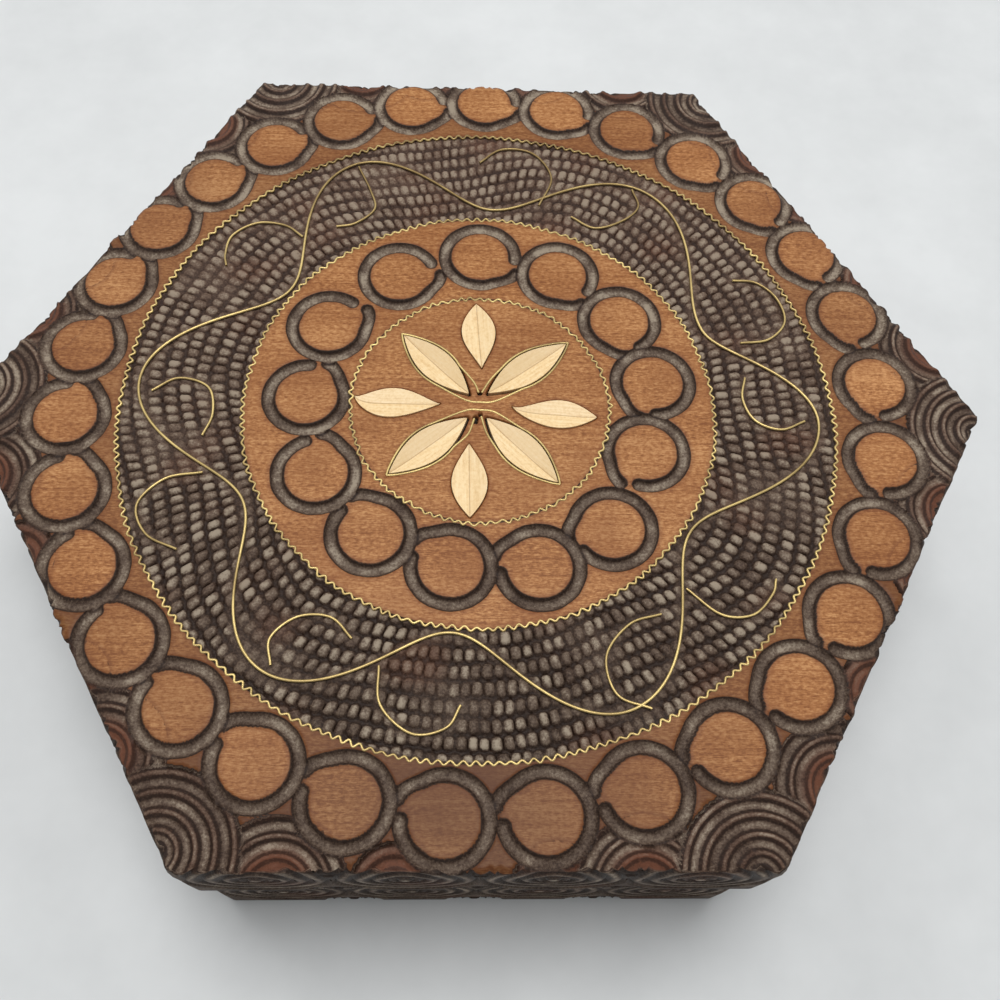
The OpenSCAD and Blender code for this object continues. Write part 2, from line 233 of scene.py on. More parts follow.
CORNER_RADII = [1.9, 3.2, 4.2, 6.1, 7.2, 9.3, 10.4, 12.4, 13.6]
EDGE_RADII = [3.0, 5.0, 6.0, 8.2, 9.2, 11.4]
MOON_RADII = [3.6, 5.4, 7.2]
CORNER_FAN_SHIFT = 4.4
EDGE_FAN_OUT = 2.2
FAN_RIM = 0.5
CALM_WARM = 0.12

# Distance of each fan on an edge from the corner before it, and its radii
EDGE_FANS = [(17.7, EDGE_RADII), (78.3, EDGE_RADII), (37.0, MOON_RADII), (63.5, MOON_RADII)]


def corner(k):
    a = math.radians(60 * k)
    return np.array([SIDE * math.cos(a), SIDE * math.sin(a)])


def all_fans():
    """Middle, radii, redness and first number of each fan. A fan lies over those after it."""
    fans = []
    for k in range(6):
        here = corner(k)
        middle = here + (corner(k - 1) - here) / SIDE * CORNER_FAN_SHIFT
        fans.append((middle, CORNER_RADII, CALM_WARM, 10 * k))
    for s, radii in EDGE_FANS:
        for k in range(6):
            here = corner(k)
            after = corner(k + 1)
            out = (here + after) / np.linalg.norm(here + after)
            middle = here + (after - here) / SIDE * s + out * EDGE_FAN_OUT
            fans.append((middle, radii, 1.0, 10 * k + s))
    return fans


def fan_field(x, y):
    """Nearest arc, number, warmth, arc number and ridges of the fans, and how far points lie beyond."""
    near = np.full_like(x, 1.1)
    raised = np.zeros(x.shape, bool)
    number = np.zeros_like(x)
    warm = np.full_like(x, 0.25)
    arc = np.full_like(x, NO_ARC)
    done = np.zeros(x.shape, bool)
    beyond = np.full_like(x, FAR_OFF)
    for middle, radii, redness, first in all_fans():
        rho = np.hypot(x - middle[0], y - middle[1])
        beyond = np.minimum(beyond, rho - radii[-1] - FAN_RIM)
        new = (rho < radii[-1] + FAN_RIM) & ~done
        near = np.where(new, arcs_field(rho, radii), near)
        arc = np.where(new, arc_number(rho, radii), arc)
        number = np.where(new, np.floor(arc) + first, number)
        ridge = (np.floor(arc) % 2 == 0) & (np.floor(arc) > 0)
        redder = CALM_WARM + (redness - CALM_WARM) * (1 - smooth(rho, 4, 8.5))
        warm = np.where(new, redder + 0.2 * ridge, warm)
        raised = np.where(new, ridge, raised)
        done |= new
    return near, number, warm, arc, raised, beyond


# Azimuth in degrees and radius of each turning point of the vine
VINE_TURNS = [(-33.7, 47.8), (-2, 67.8), (23, 50.2), (57, 67.3), (87, 50.5), (114, 68.5), (145, 48.5),
              (175, 67.9), (205, 49.5), (234, 66.3), (264, 47.1), (294, 66.3), (326.3, 47.8)]


def vine_radius(azimuth):
    """Radius of the vine at an azimuth in degrees."""
    first = VINE_TURNS[0][0]
    a = np.mod(azimuth - first, 360) + first
    r = np.zeros_like(a)
    for (a0, r0), (a1, r1) in zip(VINE_TURNS, VINE_TURNS[1:]):
        t = np.clip((a - a0) / (a1 - a0), 0, 1)
        eased = r0 + (r1 - r0) * (1 - np.cos(np.pi * t)) / 2
        r = np.where((a >= a0) & (a <= a1), eased, r)
    return r


# Points that each tendril runs through
TENDRILS = [
    [(-65, 3), (-60, 6), (-54, 4), (-52.5, -2), (-54, -7)],
    [(-53, -15), (-60, -16.5), (-64.5, -22), (-62, -28), (-56, -31)],
    [(-37, -53), (-37.5, -48), (-33, -44), (-27, -44), (-23, -48)],
    [(-18, -53), (-17.5, -60), (-12, -65), (-6, -64), (-3.5, -60)],
    [(33, -43), (27, -45), (22.5, -51), (24, -58), (30, -60.5)],
    [(38, -38), (44, -43), (50, -43), (54, -39), (55, -36)],
    [(65, -2), (60, -4), (55, -2), (53, 3), (54, 8)],
    [(54, 16.5), (60, 17.5), (64, 22), (63, 28), (59, 32), (54, 32.5)],
    [(34, 57), (35, 52), (31, 48), (25, 46), (20, 49)],
    [(13, 52), (16, 60), (12, 67), (5, 68), (0, 64)],
    [(-27, 62), (-24, 55), (-23, 50), (-27, 46), (-31, 45)],
    [(-38, 42), (-42, 45), (-48, 45.5), (-53, 42), (-54, 37), (-53.5, 34)],
]


def spline(points, per_span=8):
    """A smooth open curve through points."""
    p = np.array(points, float)
    p = np.vstack([2 * p[0] - p[1], p, 2 * p[-1] - p[-2]])
    out = []
    for k in range(1, len(p) - 2):
        for t in np.arange(per_span) / per_span:
            out.append(0.5 * (2 * p[k] + (p[k + 1] - p[k - 1]) * t
                              + (2 * p[k - 1] - 5 * p[k] + 4 * p[k + 1] - p[k + 2]) * t ** 2
                              + (3 * p[k] - p[k - 1] - 3 * p[k + 1] + p[k + 2]) * t ** 3))
    out.append(p[-2])
    return np.array(out)


# Cells of the band: their size out and round the lid, least gaps between them, and rounding
CELL_R = 3.15
CELL_A = 2.1
CELL_GAP_R = 0.06
CELL_GAP_A = 0.04
CELL_ROUND = 0.85

# Depth of the band, how much deeper its gaps are, and how high its cells stand
BAND_D = 0.55
CELL_GAP_D = 0.4
CELL_H = 0.86


def band_wire_gap(x, y):
    """Distance to the nearest wire in the band. The vine runs at a slant, so its distance is less."""
    azimuth = np.degrees(np.arctan2(y, x))
    gap = np.abs(np.hypot(x, y) - vine_radius(azimuth)) * 0.8
    for points in TENDRILS:
        for px, py in spline(points, 6):
            gap = np.minimum(gap, np.hypot(x - px, y - py))
    return gap


def cell_field(x, y):
    """How far points lie inside a cell of the band, and a fixed random number of each cell."""
    azimuth = np.arctan2(y, x)
    r = np.hypot(x, y)
    bent = 2.6 * np.sin(4 * azimuth + 0.7) + 1.3 * np.sin(7 * azimuth + 2.1) + 0.45 * waves(x, y, 14, 3)
    row_at = (r + bent) / CELL_R
    row = np.floor(row_at)
    count = np.round(2 * np.pi * (row + 0.5) * CELL_R / CELL_A)
    cell_at = azimuth / (2 * np.pi) * count + scatter(row) + 0.15 * waves(x, y, 6, 8)
    cell = np.floor(cell_at)
    along = (0.5 - np.abs(row_at - row - 0.5)) * CELL_R - CELL_GAP_R - 0.25 * scatter(cell, row)
    across = (0.5 - np.abs(cell_at - cell - 0.5)) * CELL_A - CELL_GAP_A
    near = CELL_ROUND - np.hypot(np.maximum(CELL_ROUND - along, 0), np.maximum(CELL_ROUND - across, 0))
    return near, scatter(row, cell)


def band_field(x, y):
    """Depth and look of the band of small raised cells, which are flatter near wires and in patches."""
    near, pick = cell_field(x, y)
    share = np.clip(near / CELL_ROUND, 0, 1)
    dome = np.sqrt(1 - (1 - share) ** 2)
    clear = smooth(band_wire_gap(x, y), 0.4, 2.0)
    patch = smooth(waves(x, y, 26, 1.3), -0.8, -0.1)
    strength = (0.3 + 0.7 * clear) * (0.55 + 0.45 * patch) * (0.75 + 0.25 * pick) * (0.98 - 0.0022 * y)
    depth = BAND_D + (CELL_GAP_D - CELL_H * dome) * strength + 0.06 * waves(x, y, 1.7, 6)
    line = 0.26 * (1 - strength) + (0.02 + np.maximum(near, 0)) * strength
    # Painted light: the cells get paler towards the back of the lid.
    tone = 0.6 + (0.75 * pick - 0.12) * strength + 0.12 * waves(x, y, 1.3, 9) + 0.0048 * y
    warm = 0.18 + 0.35 * smooth(waves(x, y, 19, 5.1), 0.15, 0.8) + 0.0018 * y
    return depth, look(line, tone, warm)


# Leaves of the flower, from their inner to their outer tip. Hooks bend the vein sideways.
Leaf = namedtuple("Leaf", "inner outer width widest inner_hook outer_hook", defaults=(0, 0))
PLAIN_LEAVES = [
    Leaf((0.3, 9.3), (-0.8, 25.0), 6.9, 0.56),
    Leaf((-8, 0.9), (-25, 2.6), 6.6, 0.56, 0.5, 1.6),
    Leaf((6.4, 0.7), (23.2, -1.8), 6.3, 0.56, -1.3, -0.3),
    Leaf((-2.2, -8.2), (-2.0, -24.0), 6.9, 0.54),
]
UPPER_LEFT = Leaf((-2.3, 3.2), (-15.6, 16.9), 6.7, 0.5)
UPPER_RIGHT = Leaf((1.6, 3.4), (17.6, 15.4), 6.7, 0.5)
LOWER_LEFT = Leaf((-2.6, -2.4), (-17.6, -14.9), 6.9, 0.5)
LOWER_RIGHT = Leaf((1.3, -2.4), (14.9, -16.4), 6.9, 0.5)
WIRED_LEAVES = [UPPER_LEFT, UPPER_RIGHT, LOWER_LEFT, LOWER_RIGHT]

# How far the bed of a wired leaf reaches past it
WIRED_BED = 0.36

# Middle and radius of each dark knot where wires meet
KNOTS = [(-0.1, 3.5, 0.4), (-0.9, -2.3, 0.45), (-0.9, -3.1, 0.35), (0.0, -1.5, 0.3)]


def leaf_half_width(t, leaf):
    """Half the width of a leaf along its length, t from 0 to 1."""
    shifted = np.clip(t, 0, 1) ** (math.log(0.5) / math.log(leaf.widest))
    return leaf.width / 2 * np.sin(np.pi * shifted) ** 0.92


def leaf_axes(leaf):
    """Inner tip, direction and length of a leaf."""
    x0, y0 = leaf.inner
    x1, y1 = leaf.outer
    length = math.hypot(x1 - x0, y1 - y0)
    return x0, y0, (x1 - x0) / length, (y1 - y0) / length, length


def leaf_bend(t, leaf):
    """Sideways shift of a leaf's vein, which hooks at its ends."""
    t = np.clip(t, 0, 1)
    inner = np.sin(np.pi * np.sqrt(t)) * (1 - t)
    outer = np.sin(np.pi * np.sqrt(1 - t)) * t
    return leaf.inner_hook * inner + leaf.outer_hook * outer


def leaf_inside(x, y, leaf):
    """How far points lie inside a leaf's outline."""
    x0, y0, dx, dy, length = leaf_axes(leaf)
    u = (x - x0) * dx + (y - y0) * dy
    v = -(x - x0) * dy + (y - y0) * dx - leaf_bend(u / length, leaf)
    inside = leaf_half_width(u / length, leaf) - np.abs(v)
    past = np.maximum(np.maximum(-u, u - length), 0)
    return np.where(past > 0, -np.hypot(past, v), inside)


def beds_inside(x, y):
    """How far points lie inside the beds of the leaves and the dark knots where wires meet."""
    inside = np.full_like(x, -FAR_OFF)
    for leaf in PLAIN_LEAVES:
        inside = np.maximum(inside, leaf_inside(x, y, leaf))
    for leaf in WIRED_LEAVES:
        inside = np.maximum(inside, leaf_inside(x, y, leaf) + WIRED_BED)
    for knot_x, knot_y, knot_r in KNOTS:
        inside = np.maximum(inside, knot_r - np.hypot(x - knot_x, y - knot_y))
    return inside


# Meshes

def closed_loops(rows, cols, wrap_rows, wrap_cols):
    """Quads of a grid whose points are numbered row by row, joined round its rows or columns."""
    i = np.arange(rows if wrap_rows else rows - 1)[:, None]
    j = np.arange(cols if wrap_cols else cols - 1)[None, :]
    below = (i + 1) % rows
    beside = (j + 1) % cols
    quads = np.stack([i * cols + j, below * cols + j, below * cols + beside, i * cols + beside], axis=-1)
    return quads.reshape(-1, 4).tolist()


def tube_faces(rows, cols, closed):
    """Faces of a tube whose columns run round it, with its ends covered unless it is closed."""
    faces = closed_loops(rows, cols, closed, True)
    if not closed:
        faces += [list(range(cols)), list(range((rows - 1) * cols, rows * cols))]
    return faces


def make_object(name, verts, faces, attributes, material, body, nodes=(), crease=65):
    """A mesh object from millimetres, with attributes at its points, that rides on a body."""
    mesh = bpy.data.meshes.new(name)
    mesh.from_pydata((np.asarray(verts, float) * MM).tolist(), [], faces)
    for key, values in attributes.items():
        values = np.asarray(values, np.float32)
        vector = values.ndim == 2
        layer = mesh.attributes.new(key, "FLOAT_VECTOR" if vector else "FLOAT", "POINT")
        layer.data.foreach_set("vector" if vector else "value", values.ravel())
    shape = bmesh.new()
    shape.from_mesh(mesh)
    bmesh.ops.remove_doubles(shape, verts=shape.verts, dist=1e-7)
    bmesh.ops.recalc_face_normals(shape, faces=shape.faces)
    shape.to_mesh(mesh)
    shape.free()
    mesh.polygons.foreach_set("use_smooth", [True] * len(mesh.polygons))
    mesh.set_sharp_from_angle(angle=math.radians(crease))
    mesh.materials.append(material)
    obj = bpy.data.objects.new(name, mesh)
    bpy.context.scene.collection.objects.link(obj)
    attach(obj, body)
    if nodes:
        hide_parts(*nodes)


def wood_attributes(looks, grain):
    named = {key: looks[..., k].ravel() for k, key in enumerate(LOOKS)}
    named["grain"] = grain.reshape(-1, 3)
    return named


def ring_piece(name, points, looks, closed, nodes=()):
    """A piece of the lid's board, as a tube whose columns run round the lid."""
    faces = tube_faces(*points.shape[:2], closed)
    attributes = wood_attributes(looks, points)
    make_object(name, points.reshape(-1, 3), faces, attributes, LID_WOOD, "lid", nodes)


WIRE_SIDES = 8


def tube(path, half_w, half_h, closed):
    """Points and faces of a wire along a path: an ellipse half_w wide to each side and half_h high."""
    path = np.asarray(path, float)
    if closed:
        ahead = np.roll(path, -1, 0) - np.roll(path, 1, 0)
    else:
        ahead = np.gradient(path, axis=0)
    ahead[:, 2] = 0
    ahead /= np.linalg.norm(ahead, axis=1)[:, None]
    beside = np.stack([ahead[:, 1], -ahead[:, 0], np.zeros(len(path))], axis=1)
    up = np.array([0.0, 0.0, 1.0])
    turn = np.arange(WIRE_SIDES) / WIRE_SIDES * 2 * np.pi
    ring = (beside[:, None, :] * np.cos(turn)[None, :, None] * half_w
            + up[None, None, :] * np.sin(turn)[None, :, None] * half_h)
    points = path[:, None, :] + ring
    return points.reshape(-1, 3), tube_faces(len(path), WIRE_SIDES, closed)


def joined(parts):
    """Several meshes as one: a list of points and a list of faces."""
    verts = []
    faces = []
    start = 0
    for points, part_faces in parts:
        verts.append(points)
        faces.extend([[start + i for i in face] for face in part_faces])
        start += len(points)
    return np.vstack(verts), faces


# Materials

class Graph:
    """A material and the calls that add nodes to it."""

    def __init__(self, name):
        self.material = bpy.data.materials.new(name)
        self.material.use_nodes = True
        self.tree = self.material.node_tree
        self.shader = self.tree.nodes["Principled BSDF"]

    def put(self, socket, value):
        if isinstance(value, bpy.types.NodeSocket):
            self.tree.links.new(value, socket)
        else:
            socket.default_value = value

    def node(self, kind, inputs, output=0, **settings):
        made = self.tree.nodes.new(kind)
        for key, value in settings.items():
            setattr(made, key, value)
        for key, value in inputs.items():
            self.put(made.inputs[key], value)
        return made.outputs[output]

    def attribute(self, name, vector=False):
        return self.node("ShaderNodeAttribute", {}, output="Vector" if vector else "Fac", attribute_name=name)

    def stretched(self, vector, scale):
        return self.node("ShaderNodeMapping", {"Vector": vector, "Scale": scale})

    def noise(self, vector, scale, detail, roughness):
        inputs = {"Vector": vector, "Scale": scale, "Detail": detail, "Roughness": roughness}
        return self.node("ShaderNodeTexNoise", inputs, output="Fac")

    def math(self, operation, a, b, clamp=False):
        return self.node("ShaderNodeMath", {0: a, 1: b}, operation=operation, use_clamp=clamp)

    def total(self, parts):
        """Sum of values, each times its share."""
        value, share = parts[0]
        result = self.math("MULTIPLY", value, share)
        for value, share in parts[1:]:
            result = self.math("ADD", result, self.math("MULTIPLY", value, share))
        return result

    def span(self, value, low, high, to_low=0.0, to_high=1.0):
        return self.node("ShaderNodeMapRange", {"Value": value, "From Min": low, "From Max": high,
                                                "To Min": to_low, "To Max": to_high})

    def mix(self, fac, a, b):
        return self.node("ShaderNodeMix", {0: fac, 6: a, 7: b}, output=2, data_type="RGBA")

    def ramp(self, fac, stops):
        made = self.tree.nodes.new("ShaderNodeValToRGB")
        elements = made.color_ramp.elements
        while len(elements) < len(stops):
            elements.new(0.5)
        for element, (place, colour) in zip(elements, stops):
            element.position = place
            element.color = colour
        self.put(made.inputs[0], fac)
        return made.outputs[0]

    def bump(self, height, strength, distance):
        return self.node("ShaderNodeBump", {"Height": height, "Strength": strength, "Distance": distance})

    def set(self, **values):
        for key, value in values.items():
            self.put(self.shader.inputs[key.replace("_", " ")], value)


def rgb(r, g, b):
    """An opaque linear colour from sRGB values of 0 to 255."""
    def one(c):
        c = c / 255
        return c / 12.92 if c <= 0.04045 else ((c + 0.055) / 1.055) ** 2.4
    return (one(r), one(g), one(b), 1)


# Distance between neighbouring arcs, and the width of the dark line of painted shade on each
ARC_PITCH = 2.0
ARC_LINE = 0.19

# Colours of carved wood
BLOTCH = rgb(134, 80, 42)
CUT_EDGE_SHADE = rgb(112, 62, 36)
DARK_FLAT = rgb(70, 36, 15)
RUST = rgb(100, 56, 37)
CUT_STOPS = [(0.0, rgb(34, 24, 18)), (0.3, rgb(64, 51, 42)), (0.65, rgb(106, 92, 79)),
             (1.0, rgb(158, 145, 127))]
AMBER = [(0.42, rgb(134, 82, 44)), (0.5, rgb(175, 118, 70)), (0.58, rgb(208, 154, 102))]
BROWN = [(0.41, rgb(104, 64, 38)), (0.5, rgb(134, 86, 52)), (0.59, rgb(158, 106, 66))]

# Colours of the pale leaves
LEAF_STOPS = [(0.34, rgb(222, 184, 128)), (0.5, rgb(241, 209, 156)), (0.68, rgb(250, 226, 182))]
# Painted shade on one half of a leaf
LEAF_HALF_SHADE = rgb(206, 174, 122)
LEAF_VEIN = rgb(150, 108, 62)

TARNISH = rgb(128, 106, 66)


def wood_figure(g, grain):
    """Grain along x from coordinates in millimetres."""
    streak = g.noise(g.stretched(grain, (0.06, 1.5, 1.5)), 1.0, 4.0, 0.62)
    broad = g.noise(g.stretched(grain, (0.018, 0.14, 0.14)), 1.0, 3.0, 0.5)
    fibre = g.noise(g.stretched(grain, (0.8, 5.0, 5.0)), 1.0, 2.0, 0.6)
    mottle = g.noise(g.stretched(grain, (1.1, 1.5, 1.5)), 1.0, 3.0, 0.65)
    return g.total([(streak, 0.22), (broad, 0.14), (fibre, 0.32), (mottle, 0.32)])


def flat_colour(g, stops, figure, grain, line, tone):
    """Colour of flats: wood grain, browner in blotches, darker along the cuts with painted shade, and darker
    by tone.
    """
    blotch = g.noise(grain, 0.09, 2.0, 0.5)
    flat = g.ramp(figure, stops)
    flat = g.mix(g.span(blotch, 0.35, 0.7, 0.0, 0.42), flat, BLOTCH)
    # Painted shade: flats darken towards the cuts.
    flat = g.mix(g.span(line, -1.0, -0.1, 0.0, 0.5), flat, CUT_EDGE_SHADE)
    return g.mix(g.span(tone, 0.0, 1.0, 0.85, 0.0), flat, DARK_FLAT)


def cut_colour(g, stipple, grain, line, tone):
    """Colour of cuts: dark on their lines with painted shade and paler between with painted highlight, with
    patches and speckles.
    """
    patina = g.noise(grain, 0.24, 3.0, 0.65)
    lit = g.math("ADD", g.span(line, 0.03, 0.3, 0.0, 0.62), g.span(line, 0.2, 1.0, 0.0, 0.5))
    lit = g.math("MULTIPLY", lit, g.span(tone, -0.5, 1.0, 0.0, 1.1))
    lit = g.math("MULTIPLY", lit, g.span(patina, 0.34, 0.66, 0.68, 1.28))
    lit = g.math("ADD", lit, g.span(stipple, 0.3, 0.7, -0.26, 0.26))
    rust = g.math("MULTIPLY", g.attribute("warm"), g.span(lit, 0.1, 0.5, 0.3, 0.85))
    return g.mix(rust, g.ramp(lit, CUT_STOPS), RUST)


def carved_wood(name, flat_stops, gloss, roughness):
    """Lacquered wood whose flats and carving are told apart by the attribute "line"."""
    g = Graph(name)
    grain = g.attribute("grain", vector=True)
    tone = g.attribute("tone")
    to_arc = g.math("MULTIPLY", g.math("PINGPONG", g.attribute("arc"), 0.5), ARC_PITCH)
    to_arc = g.math("MAXIMUM", g.math("SUBTRACT", to_arc, ARC_LINE), 0.0)
    line = g.math("MINIMUM", g.attribute("line"), to_arc)
    figure = wood_figure(g, grain)
    stipple = g.noise(grain, 2.3, 3.0, 0.7)
    flat = flat_colour(g, flat_stops, figure, grain, line, tone)
    cut = cut_colour(g, stipple, grain, line, tone)
    deep = g.span(line, -0.16, 0.0)
    height = g.mix(deep, g.math("MULTIPLY", figure, 0.5), stipple)
    g.set(Base_Color=g.mix(deep, flat, cut), Specular_IOR_Level=gloss,
          Roughness=g.span(line, -0.3, 0.3, roughness, 0.6), Normal=g.bump(height, 0.7, 0.00014))
    return g.material


def brass(name, colour, roughness, wear, dulled):
    """Worn brass, duller by dulled towards the back of the box."""
    g = Graph(name)
    where = g.node("ShaderNodeTexCoord", {}, output="Object")
    spots = g.noise(where, 900.0, 3.0, 0.6)
    clouds = g.noise(where, 120.0, 2.0, 0.5)
    towards_back = g.node("ShaderNodeSeparateXYZ", {"Vector": where}, output="Y")
    tarnish = g.math("MULTIPLY", g.span(clouds, 0.35, 0.7), wear)
    tarnish = g.math("ADD", tarnish, g.span(towards_back, 0.035, 0.06, 0.0, dulled), clamp=True)
    g.set(Base_Color=g.mix(tarnish, colour, TARNISH), Metallic=0.7,
          Roughness=g.span(spots, 0.3, 0.7, roughness - 0.08, roughness + 0.1),
          Normal=g.bump(spots, 0.25, 0.00004))
    return g.material


def leaf_wood(name):
    """Pale wood with a dark vein where the attribute "line" is small, and painted shade over one half of each
    leaf.
    """
    g = Graph(name)
    grain = g.attribute("grain", vector=True)
    line = g.attribute("line")
    streak = g.noise(g.stretched(grain, (0.12, 2.6, 2.6)), 1.0, 4.0, 0.6)
    fleck = g.noise(grain, 1.6, 3.0, 0.65)
    figure = g.total([(streak, 0.5), (fleck, 0.5)])
    colour = g.mix(g.attribute("far"), g.ramp(figure, LEAF_STOPS), LEAF_HALF_SHADE)
    colour = g.mix(g.span(line, 0.02, 0.16, 0.6, 0.0), colour, LEAF_VEIN)
    g.set(Base_Color=colour, Roughness=0.42, Normal=g.bump(figure, 0.3, 0.00006))
    return g.material


def plain_wood(name, stops):
    """Wood of the base, from the object's own coordinates."""
    g = Graph(name)
    where = g.node("ShaderNodeTexCoord", {}, output="Object")
    figure = wood_figure(g, g.stretched(where, (1 / MM, 1 / MM, 1 / MM)))
    g.set(Base_Color=g.ramp(figure, stops), Roughness=0.5, Normal=g.bump(figure, 0.35, 0.00008))
    return g.material


LID_WOOD = carved_wood("lid_wood_lacquered", AMBER, 0.15, 0.44)
RIM_WOOD = carved_wood("lid_rim_wood_lacquered", AMBER, 0.1, 0.5)
BODY_WOOD = carved_wood("body_wood_lacquered", BROWN, 0.1, 0.5)
LEAF_WOOD = leaf_wood("pale_leaf_wood")
INSIDE_WOOD = plain_wood("inside_wood", BROWN)
WIRE_BRASS = brass("wire_brass", rgb(198, 174, 114), 0.38, 0.8, 0.6)
HINGE_BRASS = brass("hinge_brass", rgb(196, 162, 92), 0.4, 0.7, 0.0)


# Lid: four nested pieces whose joints lie under the crimped wires

POCKET_Z = TOP - 3.5
BED_D = 1.15
BAND_EDGE_D = 0.3
BAND_LAP = 0.75
FLAT_TONE = 0.85
GROOVE_WARM = 0.08

# Points round each piece of the lid, and rows of its rings
CENTRE_COLS = 640
CHAIN_COLS = 1000
BAND_COLS = 1300
RING_ROWS = 74


def polar_grid(radii, cols):
    """Points on circles round the centre of the crimped wires."""
    a = np.arange(cols) / cols * 2 * np.pi
    x = WIRE_CENTRE[0] + radii[:, None] * np.cos(a)[None, :]
    y = WIRE_CENTRE[1] + radii[:, None] * np.sin(a)[None, :]
    return x, y


def wire_shade(x, y, r):
    """Distance to the joint below a crimped wire."""
    return np.maximum(np.abs(np.hypot(x - WIRE_CENTRE[0], y - WIRE_CENTRE[1]) - r) - 0.1, 0)


def flat_line(x, y, near, *wires):
    """Value of "line" on flats, from the distance to cuts and the radii of wires."""
    for r in wires:
        near = np.minimum(near, wire_shade(x, y, r))
    return -np.minimum(near, LINE_REACH)


def gouge_marks(x, y, inside):
    """Small ripples left by the gouge in a groove."""
    return 0.05 * waves(x, y, 2.3, 4) * (inside > 0)


def row_of(x, y, z):
    """One row of points. Its height may be one number."""
    return np.stack([x, y, np.broadcast_to(z, x.shape)], axis=-1)[None]


def with_walls(x, y, z, looks, inner_wall=True):
    """Adds rows that go down the outer wall and, after it, the inner wall to the pocket's floor."""
    points = np.stack([x, y, z], axis=-1)
    edges = [-1, 0] if inner_wall else [-1]
    extra = [row_of(x[e], y[e], POCKET_Z) for e in edges]
    return np.concatenate([points] + extra), np.concatenate([looks] + [looks[-1:]] * len(extra))


def lid_centre():
    radii = np.concatenate([[0.2], np.arange(0.45, INNER_WIRE_R, 0.25), [INNER_WIRE_R]])
    x, y = polar_grid(radii, CENTRE_COLS)
    inside = beds_inside(x, y)
    depth = BED_D * smooth(inside, -0.3, 0.12)
    # Beds show as dark lines; in the gaps round the wired leaves this is painted shade in the recess.
    line = np.where(inside > 0, 0.02, flat_line(x, y, -inside, INNER_WIRE_R))
    points, looks = with_walls(x, y, TOP - depth, look(line, FLAT_TONE, 0), inner_wall=False)
    ring_piece("lid_board_centre", points, looks, False)


def lid_inner_chain():
    radii = np.linspace(INNER_WIRE_R, MIDDLE_WIRE_R, RING_ROWS)
    x, y = polar_grid(radii, CHAIN_COLS)
    depth, line, inside = chain_field(x, y, INNER_RINGS, INNER_CHAIN_CENTRE)
    depth = depth + gouge_marks(x, y, inside)
    line = np.where(inside > 0, line, flat_line(x, y, line, INNER_WIRE_R, MIDDLE_WIRE_R))
    # Painted light: the grooves get paler towards the back of the lid.
    tone = np.where(inside > 0, 0.44 + 0.3 * waves(x, y, 9, 2) + 0.004 * y, FLAT_TONE)
    points, looks = with_walls(x, y, TOP - depth, look(line, tone, GROOVE_WARM))
    ring_piece("lid_board_inner_chain", points, looks, True)


def lid_band():
    radii = np.linspace(MIDDLE_WIRE_R, OUTER_WIRE_R + BAND_LAP, RING_ROWS)
    x, y = polar_grid(radii, BAND_COLS)
    depth, looks = band_field(x, y)
    near_wire = np.minimum(wire_shade(x, y, MIDDLE_WIRE_R), wire_shade(x, y, OUTER_WIRE_R))
    depth = BAND_EDGE_D + (depth - BAND_EDGE_D) * smooth(near_wire, 0.1, 1.2)
    looks[..., 0] = np.minimum(looks[..., 0], near_wire)
    points, looks = with_walls(x, y, TOP - depth, looks)
    ring_piece("lid_board_band", points, looks, True)


# Sides, each with a row of rosettes, and smaller scallops between them along both edges

ROSETTES = 4
ROSETTE_LINES = [1.7, 3.5, 6.1, 9.2, 12.2]
ROSETTE_END = 13.25
SCALLOP_LINES = [1.6, 3.2, 5.0]
SIDE_CUT_D = 0.66
SIDE_CUT_HALF = 0.5
ROSETTE_D = 0.14
BUTTON_D = 0.05
CORNER_WEAR = 0.5


def from_nearest(x, step, count):
    """Distance along a side from the nearest of evenly spaced middles."""
    shift = (count - 1) / 2
    place = np.clip(np.round(x / step + shift), 0, count - 1)
    return x - (place - shift) * step


def side_field(x, z, half, middle, low, high):
    """Depth and look of the carving on one side, x along it from its middle."""
    step = (2 * half - 2 * ROSETTE_END) / (ROSETTES - 1)
    rho = np.hypot(from_nearest(x, step, ROSETTES), z - middle)
    to_edge = np.minimum(z - low, high - z)
    rho_edge = np.hypot(from_nearest(x, step, ROSETTES - 1), to_edge)
    in_rosette = rho < ROSETTE_LINES[-1]
    near = np.where(in_rosette, arcs_field(rho, ROSETTE_LINES), arcs_field(rho_edge, SCALLOP_LINES))
    arc = np.where(in_rosette, arc_number(rho, ROSETTE_LINES), arc_number(rho_edge, SCALLOP_LINES))
    carved = np.maximum(ROSETTE_LINES[-1] - rho, SCALLOP_LINES[-1] - rho_edge)
    line = np.minimum(np.abs(carved), 0.3 * to_edge)
    groove = np.exp(-(near / SIDE_CUT_HALF) ** 2)
    rim = np.exp(-(carved / SIDE_CUT_HALF) ** 2)
    depth = np.where(carved > 0, ROSETTE_D + SIDE_CUT_D * groove, SIDE_CUT_D * rim)
    button = rho < ROSETTE_LINES[0]
    depth = np.where(button, BUTTON_D + 0.5 * groove, depth)
    depth = depth + CORNER_WEAR * (1 - smooth(half - np.abs(x), 0, 1.3))
    # Painted light: painted shade darkens the sides' uncarved parts and the cuts near their arcs, and painted
    # highlights make the ridges and buttons paler.
    ridge = 0.95 * smooth(near, 0.45, 1.2) - 0.5
    tone = np.where(carved > 0, ridge, 0.1) + 0.2 * waves(x, z, 8, 4.4) + 0.7 * button
    warm = 0.3 * smooth(waves(x, z, 17, 2.2), 0.0, 0.7)
    return depth, look(line, tone, warm, np.where(carved > 0, arc, NO_ARC))


LID_ROSETTE_Z = TOP - 7.6


def lid_side_field(x, z):
    return side_field(x, z, SIDE / 2, LID_ROSETTE_Z, RIM_Z, TOP)


def body_side_field(x, z):
    return side_field(x, z, BODY_APOTHEM * TAN30, BODY_TOP / 2, 0.0, BODY_TOP)


